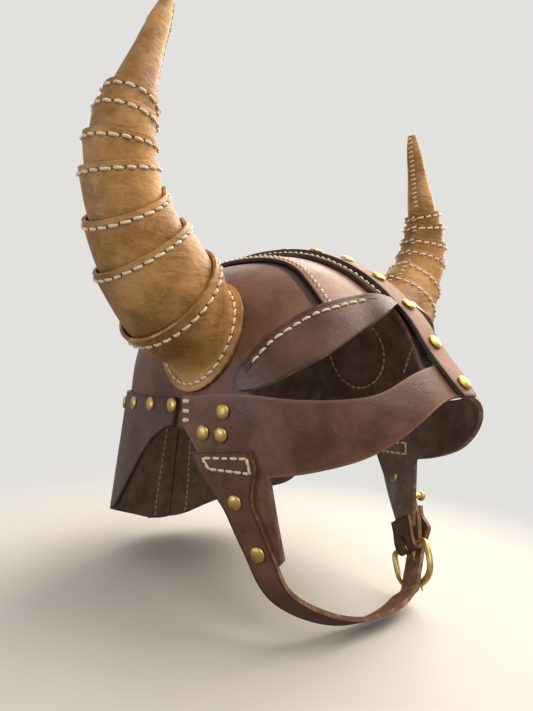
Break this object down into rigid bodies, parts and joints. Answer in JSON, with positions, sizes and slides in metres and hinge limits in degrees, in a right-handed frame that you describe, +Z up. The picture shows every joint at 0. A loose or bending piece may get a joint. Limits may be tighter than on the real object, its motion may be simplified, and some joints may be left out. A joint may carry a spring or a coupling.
{
  "type": "horned leather helmet",
  "caption": "Horned leather helmet with brow pieces, open-eyed face mask, neck guard, riveted crest strap, stitched curved horns and a buckled chin strap.",
  "frame": {"origin": "centre of the head opening, level with the rim of the shell", "axes": "+Z up along the wearer's height, -Y towards the face, -X towards the wearer's right"},
  "size_m": [0.343, 0.2844, 0.3633],
  "materials": {
    "helmet_leather": "waxed chestnut leather with a satin sheen",
    "crown_leather": "the same leather, burnished lighter on the crown",
    "horn_leather": "undyed tan leather, matt",
    "brass": "antique brass, worn bright on the caps"
  },
  "bodies": {
    "helmet": {"brow_left": "helmet_leather", "brow_right": "helmet_leather", "buckle_strap": "helmet_leather", "cheek_rivet_1_left": "brass", "cheek_rivet_1_right": "brass", "cheek_rivet_2_left": "brass", "cheek_rivet_2_right": "brass", "cheek_rivet_3_left": "brass", "cheek_rivet_3_right": "brass", "chin_strap": "helmet_leather", "crest_rivet_1": "brass", "crest_rivet_10": "brass", "crest_rivet_11": "brass", "crest_rivet_12": "brass", "crest_rivet_13": "brass", "crest_rivet_14": "brass", "crest_rivet_15": "brass", "crest_rivet_2": "brass", "crest_rivet_3": "brass", "crest_rivet_4": "brass", "crest_rivet_5": "brass", "crest_rivet_6": "brass", "crest_rivet_7": "brass", "crest_rivet_8": "brass", "crest_rivet_9": "brass", "crest_strap": "crown_leather", "face_mask": "helmet_leather", "horn_base_left": "horn_leather", "horn_base_right": "horn_leather", "horn_sleeve_1_left": "horn_leather", "horn_sleeve_1_right": "horn_leather", "horn_sleeve_2_left": "horn_leather", "horn_sleeve_2_right": "horn_leather", "horn_sleeve_3_left": "horn_leather", "horn_sleeve_3_right": "horn_leather", "horn_sleeve_4_left": "horn_leather", "horn_sleeve_4_right": "horn_leather", "horn_sleeve_5_left": "horn_leather", "horn_sleeve_5_right": "horn_leather", "horn_sleeve_6_left": "horn_leather", "horn_sleeve_6_right": "horn_leather", "horn_tip_left": "horn_leather", "horn_tip_right": "horn_leather", "keeper_stud": "brass", "neck_guard_left": "helmet_leather", "neck_guard_right": "helmet_leather", "ridge_base": "helmet_leather", "side_panel_left": "helmet_leather", "side_panel_right": "helmet_leather", "strap_rivet_1_left": "brass", "strap_rivet_1_right": "brass", "strap_rivet_2_left": "brass", "strap_rivet_2_right": "brass", "top_panel_left": "crown_leather", "top_panel_right": "crown_leather"},
    "buckle_frame": {"buckle_frame": "brass"},
    "buckle_prong": {"buckle_prong": "brass"}
  },
  "joints": [
    {"name": "frame_hinge", "type": "hinge", "parent": "helmet", "child": "buckle_frame", "pos_m": [0.0655, -0.06472, -0.0925], "axis": [-0.2068, -0.8031, 0.5588], "range_deg": [0, 8]},
    {"name": "prong_hinge", "type": "hinge", "parent": "buckle_frame", "child": "buckle_prong", "pos_m": [0.0655, -0.06472, -0.0925], "axis": [-0.2068, -0.8031, 0.5588], "range_deg": [0, 5]}
  ]
}
